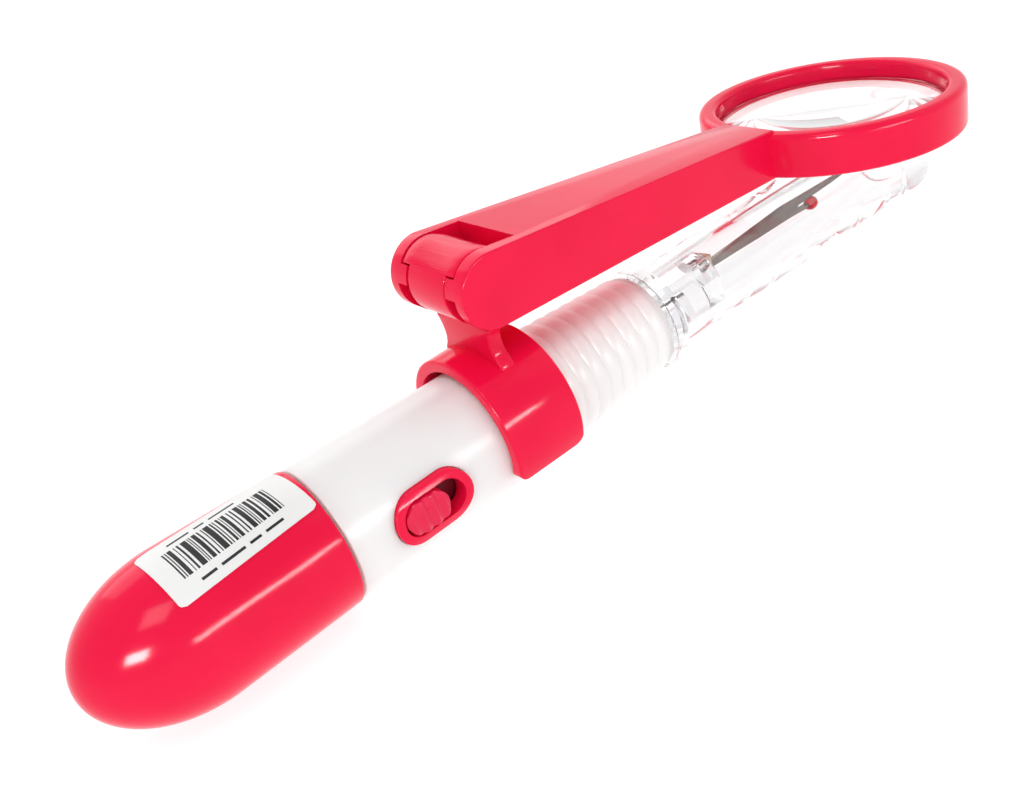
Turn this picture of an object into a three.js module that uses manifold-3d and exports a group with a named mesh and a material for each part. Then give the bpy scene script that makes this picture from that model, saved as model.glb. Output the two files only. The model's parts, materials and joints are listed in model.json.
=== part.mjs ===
// Pen-shaped lighted seam ripper with a clear cap and a magnifier that folds over it.
// Millimetres. +X runs along the pen from the end cap to the ripper's tip, +Z points to the
// magnifier. Everything is drawn about the pen's axis with x = 0 at the tail, then moved so that
// the origin lies under the middle of the object on the surface it rests on.
import * as THREE from 'three';
import Module from 'manifold-3d';

const wasm = await Module();
wasm.setup();

// ---------------------------------------------------------------- driving dimensions
const GAP = 0.3; // clearance round a fitted piece
const ROUND = 40; // facets round the large turned pieces
const ROUND_SMALL = 24; // facets round the small ones
const FAR = 40; // longer than any cut has to reach

// end cap
const TAIL = { noseLength: 13.2, radius: 8.85, mouthRadius: 8.4, mouthX: 29.3, boreX: 7.4 };
// label on the end cap: its middle, its size and the slant at which it was stuck on
const LABEL = { x: 20.1, across: -2.2, length: 17.0, width: 8.75, slant: 0.08 };
// barrel, its spigot and its bore
const BARREL = {
  x0: 29.6, x1: 56.0, radius0: 8.2, radius1: 7.72, seatX: 50.4,
  spigotX: 15.0, spigotRadius: 7.25, bore: 6.1, flangeX: 30.0, flangeThick: 1.2, flangeBore: 4.4,
};
// ribbed grip
const GRIP = {
  x0: 56.3, ribX0: 60.9, ribX1: 77.8, x1: 78.4, seatRadius: 7.55,
  radius0: 7.3, radius1: 6.35, ribs: 8, ribHeight: 0.4, bore: 5.4, boreX: 67.5, noseBore: 4.3,
};
// clear nose that holds the lamp and the blade
const NOSE = {
  tailX: 69.0, tailRadius: 4.0, collarX0: 78.7, collarX1: 80.9, collarRadius: 6.75,
  radius: 3.95, x1: 89.8,
};
// clear cap; its bore narrows ahead of the nose
const CAP = {
  x0: 81.2, x1: 130.8, radius0: 5.45, radius1: 6.1, edge: 2.0,
  bore0: 4.3, taperX: 90.5, bore1: 3.4, boreX1: 126.6,
};
// switch
const SWITCH = {
  x0: 34.75, x1: 45.0, z: 0.2, halfWidth: 3.2, proud: 0.45, inner: 6.4,
  slotX0: 35.75, slotX1: 43.95, slotHalf: 2.2, knobLength: 5.7, travel: 1.9,
};
// clip and hinge
const CLIP = {
  x0: 50.5, x1: 60.3, inner: 8.05, outer: 9.5, rise: 0.45, skirtZ: -3.6, corner: 1.5,
  neckX0: 54.4, neckX1: 56.3,
};
const HINGE = {
  x: 55.73, z: 18.18, radius: 4.3, narrow: 3.45, wide: 4.85, shoulder0: 40, shoulder1: 140,
  pinRadius: 1.6, pinEnd: 5.95, boreRadius: 1.68, boreEnd: 6.2,
};
// folding arm and magnifier
const ARM = {
  tilt: 5.6, reach: 63.33, earRadius: 4.35, halfWidth0: 7.05, halfWidth1: 4.2, top1: 1.95,
  bottom1: -4.3, rootX: 47.6, windowX: 5.0, windowHalf: 5.15, padHalf: 3.75, pad0: 142.5, pad1: 232,
};
const RING = {
  outer: 17.45, inner: 15.0, lip: 14.5, top: 1.6, bottom: -4.1, seat: 15.55, seat0: -2.45, seat1: -0.65,
};
const LENS = { radius: 15.25, edge0: -2.15, edge1: -0.95, bulge: 1.6 };
// blade
const BLADE = { halfThick: 0.42, slotHalf: 0.75, slotX0: 75.0, slotZ0: 0.7, slotZ1: 2.1 };
const CLAMP = { x0: 87.6, x1: 91.4, half: 1.1, z0: 0.5, z1: 3.1 };
const BALL = { x: 111.75, z: 0.5, radius: 0.95 };
const LAMP = {
  z: -1.6, radius: 1.5, flange: 1.7, x0: 79.1, tip: 84.5, bore: 1.95, boreX1: 85.0, pitch: 1.27,
};
// cells
const CELL = { radius: 5.8, length: 5.35, x0: 12.7, step: 5.5, count: 3 };
const STRIP = { half: 1.2, thick: 0.3 };
// where the origin lies in the pen's own coordinates
const ORIGIN = { x: 68.106, z: -8.85 };

// ---------------------------------------------------------------- solids from points
function signedVolume(points, triangles) {
  let sum = 0;
  for (let i = 0; i < triangles.length; i += 3) {
    const [a, b, c] = [0, 1, 2].map((k) => points[triangles[i + k]]);
    sum += a[0] * (b[1] * c[2] - b[2] * c[1]);
    sum += a[1] * (b[2] * c[0] - b[0] * c[2]);
    sum += a[2] * (b[0] * c[1] - b[1] * c[0]);
  }
  return sum / 6;
}

function solidFrom(points, triangles) {
  const tris = Uint32Array.from(triangles);
  if (signedVolume(points, triangles) < 0) {
    for (let i = 0; i < tris.length; i += 3) {
      [tris[i + 1], tris[i + 2]] = [tris[i + 2], tris[i + 1]];
    }
  }
  const vertProperties = Float32Array.from(points.flat());
  const solid = new wasm.Manifold(new wasm.Mesh({ numProp: 3, vertProperties, triVerts: tris }));
  if (solid.isEmpty()) {
    throw new Error('a solid came out empty');
  }
  return solid;
}

// Turns a closed outline of [along, radius] points about the X axis.
function turned(outline, facets = ROUND) {
  const points = [];
  const rows = outline.map(([x, r]) => {
    const first = points.length;
    if (r < 1e-6) {
      points.push([x, 0, 0]);
      return { first, single: true };
    }
    for (let k = 0; k < facets; k += 1) {
      const a = (2 * Math.PI * k) / facets;
      points.push([x, r * Math.sin(a), r * Math.cos(a)]);
    }
    return { first, single: false };
  });
  const triangles = [];
  const at = (row, k) => (row.single ? row.first : row.first + (k % facets));
  rows.forEach((row, i) => {
    const next = rows[(i + 1) % rows.length];
    for (let k = 0; k < facets; k += 1) {
      if (!row.single) {
        triangles.push(at(row, k), at(next, k), at(row, k + 1));
      }
      if (!next.single) {
        triangles.push(at(row, k + 1), at(next, k), at(next, k + 1));
      }
    }
  });
  return solidFrom(points, triangles);
}

// Pushes a closed outline along one axis; the outline is in the other two axes, in X, Y, Z order.
function prism(outline, axis, low, high) {
  const place = {
    x: (u, v, w) => [w, u, v],
    y: (u, v, w) => [u, w, v],
    z: (u, v, w) => [u, v, w],
  }[axis];
  const contour = outline.map(([u, v]) => new THREE.Vector2(u, v));
  const faces = THREE.ShapeUtils.triangulateShape(contour, []);
  const n = outline.length;
  const clockwise = THREE.ShapeUtils.isClockWise(contour);
  const points = [low, high].flatMap((w) => outline.map(([u, v]) => place(u, v, w)));
  const triangles = [];
  faces.forEach((face) => {
    const [a, b, c] = clockwise === THREE.ShapeUtils.isClockWise(face.map((i) => contour[i]))
      ? face : [face[0], face[2], face[1]];
    triangles.push(a, c, b, a + n, b + n, c + n);
  });
  for (let i = 0; i < n; i += 1) {
    const j = (i + 1) % n;
    triangles.push(i, j, j + n, i, j + n, i + n);
  }
  return solidFrom(points, triangles);
}

function box(x0, x1, y0, y1, z0, z1) {
  return prism([[x0, y0], [x1, y0], [x1, y1], [x0, y1]], 'z', z0, z1);
}

function arc(cx, cy, radius, from, to, steps) {
  return Array.from({ length: steps + 1 }, (_, i) => {
    const a = THREE.MathUtils.degToRad(from + ((to - from) * i) / steps);
    return [cx + radius * Math.cos(a), cy + radius * Math.sin(a)];
  });
}

// A slot's outline with round ends, from u0 to u1 at height v.
function stadium(u0, u1, v, half, steps = 10) {
  return [
    ...arc(u1 - half, v, half, -90, 90, steps),
    ...arc(u0 + half, v, half, 90, 270, steps),
  ];
}

function tube(x0, x1, inner, outer, facets = ROUND) {
  return turned([[x0, inner], [x0, outer], [x1, outer], [x1, inner]], facets);
}

function rod(x0, x1, radius, facets = ROUND) {
  return turned([[x0, 0], [x0, radius], [x1, radius], [x1, 0]], facets);
}

function rodAlongY(y0, y1, radius, facets = ROUND_SMALL) {
  return rod(y0, y1, radius, facets).rotate([0, 0, 90]);
}

function mirroredInY(solid) {
  return solid.mirror([0, 1, 0]);
}

// ---------------------------------------------------------------- end cap and barrel
function tailRadiusAt(x) {
  if (x >= TAIL.noseLength) {
    const t = (x - TAIL.noseLength) / (TAIL.mouthX - TAIL.noseLength);
    return TAIL.radius + (TAIL.mouthRadius - TAIL.radius) * t;
  }
  const u = 1 - x / TAIL.noseLength;
  return TAIL.radius * Math.sqrt(1 - u * u);
}

function endCap() {
  const nose = Array.from({ length: 13 }, (_, i) => {
    const x = TAIL.noseLength * (1 - Math.cos((Math.PI * i) / 24));
    return [x, i === 0 ? 0 : tailRadiusAt(x)];
  });
  const bore = BARREL.spigotRadius + GAP;
  return turned([
    ...nose,
    [21, tailRadiusAt(21)],
    [TAIL.mouthX - 0.25, TAIL.mouthRadius],
    [TAIL.mouthX, TAIL.mouthRadius - 0.25],
    [TAIL.mouthX, bore],
    [TAIL.boreX + 3.9, bore],
    [TAIL.boreX, 6.3],
    [TAIL.boreX, 0],
  ]);
}

// A thin sheet on the cap's upper side, turned a little off the pen's line.
function endCapLabel() {
  const [alongSteps, roundSteps] = [10, 14];
  const lay = (u, v, lift) => {
    const x = LABEL.x + u - LABEL.slant * v;
    const a = (LABEL.across + v + LABEL.slant * u) / TAIL.radius;
    const r = tailRadiusAt(x) + lift;
    return [x, r * Math.sin(a), r * Math.cos(a)];
  };
  const points = [];
  [0.06, 0.2].forEach((lift) => {
    for (let i = 0; i <= alongSteps; i += 1) {
      for (let j = 0; j <= roundSteps; j += 1) {
        const u = LABEL.length * (i / alongSteps - 0.5);
        const v = LABEL.width * (j / roundSteps - 0.5);
        points.push(lay(u, v, lift));
      }
    }
  });
  const row = roundSteps + 1;
  const layer = row * (alongSteps + 1);
  const triangles = [];
  const quad = (a, b, c, d) => triangles.push(a, b, c, a, c, d);
  for (let i = 0; i < alongSteps; i += 1) {
    for (let j = 0; j < roundSteps; j += 1) {
      const k = i * row + j;
      quad(k, k + 1, k + row + 1, k + row);
      quad(k + layer, k + layer + row, k + layer + row + 1, k + layer + 1);
    }
  }
  for (let i = 0; i < alongSteps; i += 1) {
    const [k, m] = [i * row, i * row + roundSteps];
    quad(k, k + row, k + row + layer, k + layer);
    quad(m, m + layer, m + layer + row, m + row);
  }
  for (let j = 0; j < roundSteps; j += 1) {
    const m = alongSteps * row + j;
    quad(j, j + layer, j + layer + 1, j + 1);
    quad(m, m + 1, m + 1 + layer, m + layer);
  }
  return solidFrom(points, triangles);
}

function barrelRadiusAt(x) {
  const t = (x - BARREL.x0) / (BARREL.seatX - BARREL.x0);
  return BARREL.radius0 + (BARREL.radius1 - BARREL.radius0) * t;
}

function barrelTube() {
  const flange1 = BARREL.flangeX + BARREL.flangeThick;
  const shell = turned([
    [BARREL.spigotX, BARREL.spigotRadius - 0.3],
    [BARREL.spigotX + 0.3, BARREL.spigotRadius],
    [BARREL.x0, BARREL.spigotRadius],
    [BARREL.x0, BARREL.radius0 - 0.1],
    [BARREL.x0 + 0.1, BARREL.radius0],
    [40, barrelRadiusAt(40)],
    [BARREL.seatX, BARREL.radius1],
    [BARREL.x1, BARREL.radius1],
    [BARREL.x1, BARREL.bore],
    [flange1, BARREL.bore],
    [flange1, BARREL.flangeBore],
    [BARREL.flangeX, BARREL.flangeBore],
    [BARREL.flangeX, BARREL.bore],
    [BARREL.spigotX, BARREL.bore],
  ]);
  const fit = 0.15;
  const window = prism(
    stadium(SWITCH.x0 - fit, SWITCH.x1 + fit, SWITCH.z, SWITCH.halfWidth + fit), 'y', -FAR, 0,
  );
  const stripGroove = box(BARREL.spigotX - 1, BARREL.x1 + 1, -1.5, 1.5, 5, 6.95);
  const tongueNotch = box(BARREL.flangeX - 1, flange1 + 1, -6.0, -4.0, -1.5, 1.5);
  return shell.subtract(window).subtract(stripGroove).subtract(tongueNotch);
}

function ribbedGrip() {
  const pitch = (GRIP.ribX1 - GRIP.ribX0) / GRIP.ribs;
  const meanAt = (x) => GRIP.radius0
    + ((GRIP.radius1 - GRIP.radius0) * (x - GRIP.ribX0)) / (GRIP.ribX1 - GRIP.ribX0);
  const outline = [[GRIP.x0, GRIP.seatRadius], [GRIP.ribX0 - 0.3, GRIP.seatRadius]];
  for (let i = 0; i < GRIP.ribs; i += 1) {
    [[0, -0.5], [0.25, 0.25], [0.5, 0.5], [0.75, 0.25]].forEach(([part, level]) => {
      const x = GRIP.ribX0 + pitch * (i + part);
      outline.push([x, meanAt(x) + level * GRIP.ribHeight]);
    });
  }
  outline.push(
    [GRIP.ribX1, GRIP.radius1 - 0.1],
    [GRIP.x1, GRIP.radius1 - 0.1],
    [GRIP.x1, GRIP.noseBore],
    [GRIP.boreX, GRIP.noseBore],
    [GRIP.boreX, GRIP.bore],
    [GRIP.x0, GRIP.bore],
  );
  return turned(outline);
}

// ---------------------------------------------------------------- lamp, blade and clear pieces
function clearNose() {
  const body = turned([
    [NOSE.tailX, 0],
    [NOSE.tailX, NOSE.tailRadius],
    [NOSE.collarX0, NOSE.tailRadius],
    [NOSE.collarX0, NOSE.collarRadius],
    [NOSE.collarX1 - 0.5, NOSE.collarRadius],
    [NOSE.collarX1, NOSE.collarRadius - 0.5],
    [NOSE.collarX1, NOSE.radius],
    [NOSE.x1 - 0.3, NOSE.radius],
    [NOSE.x1, NOSE.radius - 0.3],
    [NOSE.x1, 0],
  ]);
  const lampBore = rod(NOSE.tailX - 1, LAMP.boreX1, LAMP.bore, ROUND_SMALL).translate([0, 0, LAMP.z]);
  const bladeSlot = box(
    NOSE.tailX - 1, NOSE.x1 + 1, -BLADE.slotHalf, BLADE.slotHalf, BLADE.slotZ0, BLADE.slotZ1,
  );
  const pocket = box(
    CLAMP.x0 - GAP, NOSE.x1 + 1, -CLAMP.half - GAP, CLAMP.half + GAP, CLAMP.z0 - GAP, CLAMP.z1 + GAP,
  );
  return body.subtract(lampBore).subtract(bladeSlot).subtract(pocket);
}

function bladeClamp() {
  const block = box(CLAMP.x0, CLAMP.x1, -CLAMP.half, CLAMP.half, CLAMP.z0, CLAMP.z1);
  const hole = box(
    CLAMP.x0 - 1, CLAMP.x1 + 1, -BLADE.slotHalf, BLADE.slotHalf, BLADE.slotZ0, BLADE.slotZ1,
  );
  return block.subtract(hole);
}

function ripperBlade() {
  return prism([
    [76.0, 0.95], [91.5, 0.95], [97.0, 0.8], [101.3, 0.65], [106.9, 0.55], [110.1, 0.35],
    [111.3, 0.3], [111.3, 0.72], [110.0, 0.88], [109.2, 1.05], [108.6, 1.3], [109.0, 1.5],
    [111.0, 1.55], [115.5, 1.6], [122.3, 1.9], [115.8, 2.1], [106.1, 2.5], [97.9, 2.1],
    [91.5, 1.85], [76.0, 1.85],
  ], 'y', -BLADE.halfThick, BLADE.halfThick);
}

function ripperBall() {
  const half = Array.from({ length: 11 }, (_, i) => {
    const a = (Math.PI * i) / 10;
    const onAxis = i === 0 || i === 10;
    return [-BALL.radius * Math.cos(a), onAxis ? 0 : BALL.radius * Math.sin(a)];
  });
  const socket = box(BALL.x - 2, 111.36, -0.48, 0.48, 0.24, 0.78);
  return turned(half, 20).translate([BALL.x, 0, BALL.z]).subtract(socket);
}

function clearCap() {
  const corner = arc(CAP.x1 - CAP.edge, CAP.radius1 - CAP.edge, CAP.edge, 90, 0, 5);
  return turned([
    [CAP.x0, CAP.bore0],
    [CAP.x0, CAP.radius0],
    ...corner,
    [CAP.x1, 0],
    [CAP.boreX1, 0],
    [CAP.boreX1, CAP.bore1 - 0.8],
    [CAP.boreX1 - 0.8, CAP.bore1],
    [CAP.taperX, CAP.bore0],
  ]);
}

function lamp() {
  const base = LAMP.x0;
  const dome = arc(LAMP.tip - LAMP.radius, 0, LAMP.radius, 90, 18, 4);
  return turned([
    [base, 0], [base, LAMP.flange], [base + 0.8, LAMP.flange], [base + 0.8, LAMP.radius],
    ...dome, [LAMP.tip, 0],
  ], ROUND_SMALL).translate([0, 0, LAMP.z]);
}

function lampLead(side) {
  return rod(67.5, LAMP.x0 - 0.2, 0.27, 12).translate([0, side * LAMP.pitch, LAMP.z]);
}

function lampBoard() {
  return rod(65.9, 67.2, 5.1, 32);
}

// ---------------------------------------------------------------- cells, springs and strips
function cell(index) {
  const x = CELL.x0 + CELL.step * index;
  const end = x + CELL.length;
  return turned([
    [x, 0], [x, 4.7], [x + 0.35, 4.9], [x + 0.45, CELL.radius - 0.3], [x + 0.7, CELL.radius],
    [end - 0.25, CELL.radius], [end, CELL.radius - 0.25], [end, 0],
  ], 28);
}

// Conical wire spring between the end plate and the first cell.
function cellSpring() {
  const [turns, perTurn, wireFacets, wire] = [3.5, 16, 6, 0.28];
  const steps = turns * perTurn;
  const points = [];
  for (let i = 0; i <= steps; i += 1) {
    const t = i / steps;
    const a = 2 * Math.PI * turns * t;
    const radius = 4.6 - 2.3 * t;
    const centre = new THREE.Vector3(8.65 + 3.35 * t, radius * Math.cos(a), radius * Math.sin(a));
    const outward = new THREE.Vector3(0, Math.cos(a), Math.sin(a));
    const along = new THREE.Vector3(1, 0, 0);
    for (let k = 0; k < wireFacets; k += 1) {
      const b = (2 * Math.PI * k) / wireFacets;
      const p = centre.clone()
        .addScaledVector(outward, wire * Math.cos(b))
        .addScaledVector(along, wire * Math.sin(b));
      points.push([p.x, p.y, p.z]);
    }
  }
  const triangles = [];
  for (let i = 0; i < steps; i += 1) {
    for (let k = 0; k < wireFacets; k += 1) {
      const a = i * wireFacets + k;
      const b = i * wireFacets + ((k + 1) % wireFacets);
      triangles.push(a, b, b + wireFacets, a, b + wireFacets, a + wireFacets);
    }
  }
  for (let k = 1; k < wireFacets - 1; k += 1) {
    const last = steps * wireFacets;
    triangles.push(0, k + 1, k, last, last + k, last + k + 1);
  }
  return solidFrom(points, triangles);
}

function springPlate() {
  return rod(7.7, 8.05, 5.6, 32);
}

function frontContact() {
  const plate = rod(29.35, 29.65, 5.6, 32);
  const tongue = box(29.4, 37.2, -5.0, -4.7, -STRIP.half, STRIP.half);
  return plate.add(tongue);
}

function lampStrip() {
  return box(46.0, 65.5, -5.0, -4.7, -STRIP.half, STRIP.half);
}

function returnStrip() {
  const [high, low] = [6.35, 4.75];
  return prism([
    [15.4, high], [54.0, high], [55.0, low], [65.5, low], [65.5, low + STRIP.thick],
    [55.2, low + STRIP.thick], [54.2, high + STRIP.thick], [15.4, high + STRIP.thick],
  ], 'y', -STRIP.half, STRIP.half);
}

// ---------------------------------------------------------------- switch
function switchBezel() {
  const frame = prism(stadium(SWITCH.x0, SWITCH.x1, SWITCH.z, SWITCH.halfWidth), 'y', -FAR, 0);
  const slot = prism(stadium(SWITCH.slotX0, SWITCH.slotX1, SWITCH.z, SWITCH.slotHalf), 'y', -FAR, 0);
  const band = turned([
    [SWITCH.x0 - 1, SWITCH.inner], [SWITCH.x0 - 1, barrelRadiusAt(SWITCH.x0 - 1) + SWITCH.proud],
    [SWITCH.x1 + 1, barrelRadiusAt(SWITCH.x1 + 1) + SWITCH.proud], [SWITCH.x1 + 1, SWITCH.inner],
  ], 96);
  return frame.intersect(band).subtract(slot);
}

function switchKnob() {
  const x0 = SWITCH.slotX0 + GAP;
  const x1 = x0 + SWITCH.knobLength;
  const half = SWITCH.slotHalf - GAP;
  const stem = prism(stadium(x0, x1, SWITCH.z, half), 'y', -FAR, 0)
    .intersect(tube(x0 - 1, x1 + 1, 5.6, 8.75, 96));
  const foot = box(x0 - 2.4, x1 + 2.6, -FAR, 0, SWITCH.z - 2.9, SWITCH.z + 2.9)
    .intersect(tube(x0 - 3, x1 + 3, 5.45, 6.05, 96));
  const post = box(x0 + 1.8, x0 + 4.6, -5.9, -4.65, -1.2, 0.8);
  let knob = stem.add(foot).add(post);
  [1.35, 2.85, 4.35].forEach((offset) => {
    const groove = box(x0 + offset - 0.3, x0 + offset + 0.3, -FAR, -7.9, -4, 4);
    knob = knob.subtract(groove);
  });
  return knob;
}

function switchWiper() {
  return box(34.8, 44.8, -4.35, -4.05, -STRIP.half, STRIP.half);
}

// ---------------------------------------------------------------- clip, arm and magnifier
function sector(radius, from, to, y0, y1) {
  return prism([[0, 0], ...arc(0, 0, radius, from, to, 14)], 'y', y0, y1);
}

function magnifierClip() {
  const skirt = prism([
    ...arc(CLIP.x0 + CLIP.corner, CLIP.skirtZ + CLIP.corner, CLIP.corner, 180, 270, 5),
    ...arc(CLIP.x1 - CLIP.corner, CLIP.skirtZ + CLIP.corner, CLIP.corner, 270, 360, 5),
    [CLIP.x1, 12],
    [CLIP.x0, 12],
  ], 'y', -FAR, FAR);
  const collar = tube(CLIP.x0, CLIP.x1, CLIP.inner, CLIP.outer, 64)
    .translate([0, 0, CLIP.rise])
    .intersect(skirt);
  const side = [
    [5.6, 8.2], [5.2, 8.9], [4.75, 9.6], [4.45, 10.4], [4.4, 11.1], [4.5, 11.9], [4.75, 12.7],
    [5.1, 13.4], [HINGE.narrow, 13.4], [HINGE.narrow, 15.7],
  ];
  const neckOutline = [...side, ...side.map(([y, z]) => [-y, z]).reverse()];
  const bore = rod(CLIP.x0 - 1, CLIP.x1 + 1, CLIP.inner, 64).translate([0, 0, CLIP.rise]);
  const neck = prism(neckOutline, 'x', CLIP.neckX0, CLIP.neckX1).subtract(bore);
  let knuckle = rodAlongY(-HINGE.narrow, HINGE.narrow, HINGE.radius, ROUND);
  [1, -1].forEach((way) => {
    const shoulder = sector(
      HINGE.radius, HINGE.shoulder0, HINGE.shoulder1, HINGE.narrow - 0.5, HINGE.wide,
    );
    const pin = rodAlongY(HINGE.narrow - 0.5, HINGE.pinEnd, HINGE.pinRadius);
    const end = shoulder.add(pin);
    knuckle = knuckle.add(way > 0 ? end : mirroredInY(end));
  });
  return collar.add(neck).add(knuckle.translate([HINGE.x, 0, HINGE.z]));
}

function filletedRing() {
  const [f, g] = [0.7, 0.4];
  return turned([
    ...arc(RING.top - f, RING.outer - f, f, 0, 90, 4),
    ...arc(RING.bottom + g, RING.outer - g, g, 90, 180, 3),
    [RING.bottom, RING.lip + 0.2],
    [RING.bottom + 0.2, RING.lip],
    [RING.seat0, RING.lip],
    [RING.seat0, RING.seat],
    [RING.seat1, RING.seat],
    [RING.seat1, RING.inner],
    [RING.top - 0.5, RING.inner],
    [RING.top, RING.inner + 0.5],
  ], 56).rotate([0, -90, 0]).translate([ARM.reach, 0, 0]);
}

function tilted(solid) {
  return solid.rotate([0, ARM.tilt, 0]).translate([HINGE.x, 0, HINGE.z]);
}

function magnifierArm() {
  const profile = prism([
    ...arc(0, 0, ARM.earRadius, 90, 270, 18),
    [ARM.rootX, ARM.bottom1],
    [ARM.rootX, ARM.top1],
  ], 'y', -FAR, FAR);
  const plan = prism([
    [-6, -ARM.halfWidth0], [0, -ARM.halfWidth0], [ARM.rootX, -ARM.halfWidth1],
    [ARM.rootX, ARM.halfWidth1], [0, ARM.halfWidth0], [-6, ARM.halfWidth0],
  ], 'z', -FAR, FAR);
  const window = box(-6, ARM.windowX, -ARM.windowHalf, ARM.windowHalf, -FAR, FAR);
  let arm = profile.intersect(plan).subtract(window);
  const pad = sector(
    ARM.earRadius, ARM.pad0 + ARM.tilt, ARM.pad1 + ARM.tilt, ARM.padHalf, ARM.windowHalf + 0.2,
  );
  const bore = rodAlongY(ARM.padHalf - 1, HINGE.boreEnd, HINGE.boreRadius);
  const leadIn = box(0, FAR, ARM.padHalf - 1, ARM.windowHalf + 0.35, -1.7, 1.7)
    .rotate([0, -(196 + ARM.tilt), 0]);
  [1, -1].forEach((way) => {
    const side = (solid) => (way > 0 ? solid : mirroredInY(solid));
    arm = arm.add(side(pad)).subtract(side(bore)).subtract(side(leadIn));
  });
  return tilted(arm.add(filletedRing()));
}

function magnifierLens() {
  const curve = (LENS.radius ** 2 + LENS.bulge ** 2) / (2 * LENS.bulge);
  const rise = (r) => Math.sqrt(curve ** 2 - r ** 2) - (curve - LENS.bulge);
  const steps = 7;
  const radii = Array.from({ length: steps + 1 }, (_, i) => (LENS.radius * i) / steps);
  return tilted(turned([
    ...radii.map((r) => [LENS.edge1 + rise(r), r]),
    ...radii.reverse().map((r) => [LENS.edge0 - rise(r), r]),
  ]).rotate([0, -90, 0]).translate([ARM.reach, 0, 0]));
}

// ---------------------------------------------------------------- assembly
const group = new THREE.Group();
group.name = 'lighted_seam_ripper';

function addPart(name, solid, color, finish = {}) {
  const shape = solid.getMesh();
  const geometry = new THREE.BufferGeometry();
  const positions = new Float32Array(shape.numVert * 3);
  for (let i = 0; i < shape.numVert; i += 1) {
    positions[3 * i] = shape.vertProperties[shape.numProp * i] - ORIGIN.x;
    positions[3 * i + 1] = shape.vertProperties[shape.numProp * i + 1];
    positions[3 * i + 2] = shape.vertProperties[shape.numProp * i + 2] - ORIGIN.z;
  }
  geometry.setAttribute('position', new THREE.BufferAttribute(positions, 3));
  geometry.setIndex(Array.from(shape.triVerts));
  geometry.computeVertexNormals();
  const material = new THREE.MeshStandardMaterial({ color, roughness: 0.35, ...finish });
  material.name = name;
  const mesh = new THREE.Mesh(geometry, material);
  mesh.name = name;
  group.add(mesh);
}

const RED = 0xe01540;
const CLEAR = { transparent: true, opacity: 0.35, roughness: 0.05 };
const METAL = { metalness: 0.9, roughness: 0.3 };

addPart('barrel_tube', barrelTube(), 0xf3efec);
addPart('ribbed_grip', ribbedGrip(), 0xf3ecea);
addPart('clear_nose', clearNose(), 0xf4f6f8, CLEAR);
addPart('blade_clamp', bladeClamp(), 0xb89a6a, METAL);
addPart('ripper_blade', ripperBlade(), 0xb9bcc0, METAL);
addPart('ripper_ball', ripperBall(), 0xa3141c);
addPart('lamp', lamp(), 0xf2f4f8, CLEAR);
addPart('lamp_lead_left', lampLead(1), 0xc8c8cc, METAL);
addPart('lamp_lead_right', lampLead(-1), 0xc8c8cc, METAL);
addPart('lamp_board', lampBoard(), 0x2f6b3a);
addPart('lamp_strip', lampStrip(), 0xc9a35a, METAL);
addPart('return_strip', returnStrip(), 0xc9a35a, METAL);
addPart('front_contact', frontContact(), 0xc9a35a, METAL);
for (let i = 0; i < CELL.count; i += 1) {
  addPart(`cell_${i + 1}`, cell(i), 0xc4c6ca, METAL);
}
addPart('switch_bezel', switchBezel(), RED);
addPart('switch_knob', switchKnob(), RED);
addPart('switch_wiper', switchWiper(), 0xc9a35a, METAL);
addPart('end_cap', endCap(), RED);
addPart('end_cap_label', endCapLabel(), 0xf6f6f4, { roughness: 0.5 });
addPart('cell_spring', cellSpring(), 0xbfc2c6, METAL);
addPart('spring_plate', springPlate(), 0xc9a35a, METAL);
addPart('clear_cap', clearCap(), 0xf4f6f8, CLEAR);
addPart('magnifier_clip', magnifierClip(), RED);
addPart('magnifier_arm', magnifierArm(), RED);
addPart('magnifier_lens', magnifierLens(), 0xf2f6fa, CLEAR);

export default group;
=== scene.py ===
"""Looks of the lighted seam ripper with its folding magnifier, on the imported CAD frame.

The pieces are drawn in millimetres in the pen's own coordinates, x from the tail's tip and z from
the pen's axis, and each is moved into the row frame as it is made.
"""

import json
import math

import bmesh
import bpy
from mathutils import Matrix, Vector


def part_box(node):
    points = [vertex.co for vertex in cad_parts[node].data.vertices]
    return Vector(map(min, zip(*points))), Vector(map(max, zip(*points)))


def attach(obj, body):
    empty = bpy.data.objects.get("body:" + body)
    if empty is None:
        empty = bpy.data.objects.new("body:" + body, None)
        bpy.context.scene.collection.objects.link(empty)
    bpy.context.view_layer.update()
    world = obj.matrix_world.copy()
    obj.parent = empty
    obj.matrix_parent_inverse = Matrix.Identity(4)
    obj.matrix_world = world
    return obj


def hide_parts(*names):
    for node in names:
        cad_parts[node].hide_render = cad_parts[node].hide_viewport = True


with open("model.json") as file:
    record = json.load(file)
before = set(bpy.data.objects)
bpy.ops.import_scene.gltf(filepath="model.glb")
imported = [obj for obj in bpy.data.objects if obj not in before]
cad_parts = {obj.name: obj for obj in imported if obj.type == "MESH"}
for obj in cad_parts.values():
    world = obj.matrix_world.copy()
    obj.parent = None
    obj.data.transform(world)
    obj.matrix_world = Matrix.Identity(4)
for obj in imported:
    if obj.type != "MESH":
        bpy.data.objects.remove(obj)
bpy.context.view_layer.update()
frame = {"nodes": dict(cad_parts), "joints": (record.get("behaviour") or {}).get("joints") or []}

# ------------------------------------------------------------------ where things are
MM = 0.001
JOINTS = {joint["name"]: joint for joint in frame["joints"]}
TAIL_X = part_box("end_cap")[0].x
AXIS_Z = (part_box("clear_cap")[0].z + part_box("clear_cap")[1].z) / 2
HINGE = Vector(JOINTS["magnifier_fold"]["pos_m"])
ORIGIN = Vector((TAIL_X, 0, AXIS_Z))
HINGE_MM = (HINGE - ORIGIN) / MM

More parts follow.
